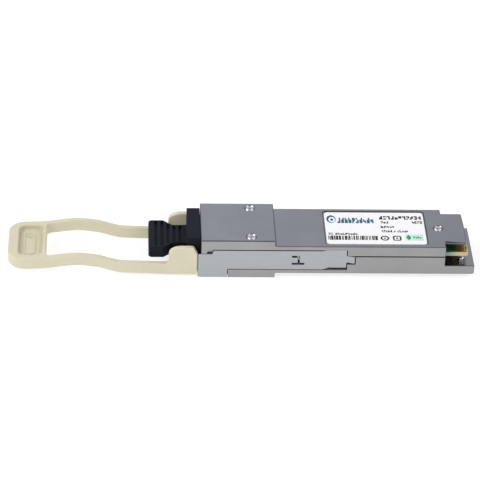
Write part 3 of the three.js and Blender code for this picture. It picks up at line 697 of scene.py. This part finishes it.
def teal_print(bm):
    """An open oval with a spot in it, and a row of signs."""
    cx, cy = across_label(0.067), up_label(0.78)
    eye = (cx + 0.18, cy - 0.25)
    frame_prism(bm, ellipse(cx, cy, 1.25, 1.85), ellipse(*eye, 0.88, 1.3), *PRINT_Z)
    prism(bm, ellipse(*eye, 0.42, 0.6), *PRINT_Z)
    glyph_row(bm, *TEAL_ROW)


def green_print(bm):
    """A diamond and a row of signs, on the pale badge."""
    x, y, half, tall = across_label(0.825), up_label(0.21), 0.7, 1.35
    prism(bm, [(x - half, y), (x, y - tall), (x + half, y), (x, y + tall)], *PRINT_Z)
    glyph_row(bm, *GREEN_ROW)


def badge(bm):
    outline = (across_label(0.79), across_label(0.975), up_label(0.115), up_label(0.305))
    prism(bm, rounded(*outline, 0.3), *BADGE_Z)


piece("label_print_black", black_print, "module", MATERIALS["ink"])
piece("label_print_teal", teal_print, "module", ink("label_ink_teal", (0.012, 0.13, 0.2)))
piece("label_print_green", green_print, "module", ink("label_ink_green", (0.03, 0.28, 0.12)))
piece("label_badge", badge, "module", ink("label_ink_pale_green", (0.6, 0.86, 0.68)))


# ---------------------------------------------------------------- card contacts
CONTACTS = 19
PITCH = 0.8
PAD_WIDTH = 0.54
PAD_START = 3.1  # from the card's end
PAD_END = 0.4  # from the card's end
SIGNAL_SETBACK = 0.25  # how much sooner a signal pad ends
TRACE_START = 6.4  # from the card's end
WIDE_TRACE, THIN_TRACE = 0.4, 0.18
COPPER = 0.035
LIFT = 0.001  # clear of the card's face
TRACE_TOP = 0.02


def contact_row():
    """The middle of each contact across the card, and whether it carries power or ground."""
    return [((i - (CONTACTS - 1) / 2) * PITCH, i % 3 == 0) for i in range(CONTACTS)]


def contact_pads(bm):
    """Both rows of contacts: power and ground pads reach nearer to the card's end than signal pads."""
    low, high = extent("circuit_board")
    start, end = high.x - PAD_START, high.x - PAD_END
    for z0, z1 in ((high.z + LIFT, high.z + COPPER), (low.z - COPPER, low.z - LIFT)):
        for y, power in contact_row():
            reach = end if power else end - SIGNAL_SETBACK
            prism(bm, rounded(start, reach, y - PAD_WIDTH / 2, y + PAD_WIDTH / 2, 0.1), z0, z1)


def contact_traces(bm):
    """Copper runs under the mask, from each contact back into the shell."""
    high = extent("circuit_board")[1]
    start, finish = high.x - TRACE_START, high.x - PAD_START
    for y, power in contact_row():
        half = (WIDE_TRACE if power else THIN_TRACE) / 2
        prism(bm, rectangle(start, finish, y - half, y + half), high.z + LIFT, high.z + TRACE_TOP)


BOSS_X, BOSS_Y, BOSS_TOP = 49.5, 6.45, 3.45
CROWN_RADIUS = 0.74
CROWN_HEIGHT = 0.42
CROWN_SLOPE = 2 * math.atan(CROWN_HEIGHT / CROWN_RADIUS)


def boss_crowns(bm):
    """Rounded bare-metal crowns on the two locating bosses of the rear lip."""
    ball = CROWN_RADIUS / math.sin(CROWN_SLOPE)
    around, levels = 24, 6
    for side in (-1, 1):
        rings = []
        for level in range(levels):
            slope = CROWN_SLOPE * (1 - level / levels)
            z = BOSS_TOP + CROWN_HEIGHT - ball * (1 - math.cos(slope))
            outline = circle(BOSS_X, side * BOSS_Y, ball * math.sin(slope), around)
            rings.append([bm.verts.new((x, y, z)) for x, y in outline])
        for a, b in zip(rings, rings[1:]):
            for i in range(around):
                j = (i + 1) % around
                bm.faces.new((a[i], a[j], b[j], b[i])).smooth = True
        bm.faces.new(rings[0][::-1])
        bm.faces.new(rings[-1]).smooth = True


BARE_METAL = bright_metal("bare_machined_face", grey(0.9), grey(0.93), (0.3, 0.34))
piece("boss_crowns", boss_crowns, "module", BARE_METAL)
piece("card_contacts", contact_pads, "module", MATERIALS["contact"])
TRACE_MASK = plain_plastic("mask_over_copper", (0.012, 0.1, 0.03), (0.02, 0.13, 0.04), (0.2, 0.3), 0.3)
piece("card_traces", contact_traces, "module", TRACE_MASK)


# ---------------------------------------------------------------- return springs
def coil_builder(node, turns=7, dead_turns=1.1, wire=0.13, around=10, per_turn=28):
    """Compression spring with closed ends, as one closed tube along its helix."""
    low, high = extent(node)
    cy, cz = (low.y + high.y) / 2, (low.z + high.z) / 2
    radius = (high.z - low.z) / 2 - wire
    start, finish = low.x + wire, high.x - wire
    dead = dead_turns * 2 * wire

    def centre(turn):
        if turn < dead_turns:
            along = turn / dead_turns * dead
        elif turn > turns - dead_turns:
            along = finish - start - (turns - turn) / dead_turns * dead
        else:
            share = (turn - dead_turns) / (turns - 2 * dead_turns)
            along = dead + share * (finish - start - 2 * dead)
        angle = turn * 2 * math.pi
        return Vector((start + along, cy + radius * math.cos(angle), cz + radius * math.sin(angle)))

    def build(bm):
        steps = round(turns * per_turn)
        rings = []
        for i in range(steps + 1):
            turn = i * turns / steps
            middle = centre(turn)
            radial = Vector((0, middle.y - cy, middle.z - cz)).normalized()
            along = Vector((1, 0, 0))
            ring = []
            for k in range(around):
                angle = k * 2 * math.pi / around
                offset = radial * math.cos(angle) + along * math.sin(angle)
                ring.append(bm.verts.new(middle + offset * wire))
            rings.append(ring)
        for a, b in zip(rings, rings[1:]):
            for k in range(around):
                n = (k + 1) % around
                bm.faces.new((a[k], a[n], b[n], b[k]))
        bm.faces.new(rings[0])
        bm.faces.new(rings[-1])
        for face in bm.faces:
            face.smooth = len(face.verts) == 4

    return build


for side in ("left", "right"):
    node = f"return_spring_{side}"
    spring = piece(f"{node}_wire", coil_builder(node), "module", MATERIALS["spring"])
    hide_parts(node)
    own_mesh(spring)


# ---------------------------------------------------------------- stage, lights, camera
def floor():
    reach_m = 3.0
    mesh = bpy.data.meshes.new("floor")
    corners = [(x, y, 0) for x, y in rectangle(-reach_m, reach_m, -reach_m, reach_m)]
    mesh.from_pydata(corners, [], [(0, 1, 2, 3)])
    mesh.materials.append(floor_paint())
    obj = bpy.data.objects.new("floor", mesh)
    bpy.context.scene.collection.objects.link(obj)


def softbox(name, azimuth, elevation, watts, distance_m=1.0, side_m=0.5):
    """A square soft light aimed at the object; azimuth 0 is +X, 90 is +Y."""
    lamp = bpy.data.lights.new(name, "AREA")
    lamp.shape = "SQUARE"
    lamp.size = side_m
    lamp.energy = watts
    around, up = math.radians(azimuth), math.radians(elevation)
    direction = (math.cos(around) * math.cos(up), math.sin(around) * math.cos(up), math.sin(up))
    place = distance_m * Vector(direction)
    obj = bpy.data.objects.new(name, lamp)
    obj.location = place
    obj.rotation_euler = (-place).to_track_quat("-Z", "Y").to_euler()
    bpy.context.scene.collection.objects.link(obj)


def sky():
    """A studio that is pale up to half height, dark overhead and a little dimmer towards +X."""
    world = bpy.data.worlds.new("studio")
    world.use_nodes = True
    nodes, links = world.node_tree.nodes, world.node_tree.links
    direction = nodes.new("ShaderNodeTexCoord")
    split = nodes.new("ShaderNodeSeparateXYZ")
    links.new(direction.outputs["Generated"], split.inputs["Vector"])

    def shade(output, stops):
        ramp = nodes.new("ShaderNodeValToRGB")
        set_stops(ramp.color_ramp, stops)
        links.new(split.outputs[output], ramp.inputs["Fac"])
        return ramp.outputs["Color"]

    pale = (0.815, 0.84, 0.965)
    by_height = shade("Z", [(0.0, pale), (0.62, pale), (0.8, grey(0.2)), (1.0, grey(0.1))])
    by_length = shade("X", [(0.0, grey(1.0)), (0.2, grey(0.83))])
    product = nodes.new("ShaderNodeVectorMath")
    product.operation = "MULTIPLY"
    links.new(by_height, product.inputs[0])
    links.new(by_length, product.inputs[1])
    background = nodes["Background"]
    links.new(product.outputs["Vector"], background.inputs["Color"])
    background.inputs["Strength"].default_value = 1.0
    bpy.context.scene.world = world


def camera():
    yaw, pitch, roll = math.radians(3.053), math.radians(33.412), math.radians(2.028)
    data = bpy.data.cameras.new("camera")
    data.sensor_width = 36.0
    data.lens = 194.3
    obj = bpy.data.objects.new("camera", data)
    flat = math.cos(pitch)
    forward = Vector((math.sin(yaw) * flat, math.cos(yaw) * flat, -math.sin(pitch)))
    right = Vector((math.cos(yaw), -math.sin(yaw), 0))
    up = right.cross(forward)
    tilted_right = right * math.cos(roll) + up * math.sin(roll)
    tilted_up = up * math.cos(roll) - right * math.sin(roll)
    basis = Matrix((tilted_right, tilted_up, -forward)).transposed()
    obj.matrix_world = Matrix.Translation((-0.0308, -0.5741, 0.3850)) @ basis.to_4x4()
    bpy.context.scene.collection.objects.link(obj)
    bpy.context.scene.camera = obj


floor()
sky()
camera()
softbox("key_left", azimuth=205, elevation=42, watts=4.3)
softbox("fill_right", azimuth=-35, elevation=45, watts=2.1)
softbox("back_left", azimuth=150, elevation=50, watts=1.5)
softbox("back_right", azimuth=30, elevation=50, watts=1.5)
bpy.context.scene.view_settings.view_transform = "Standard"
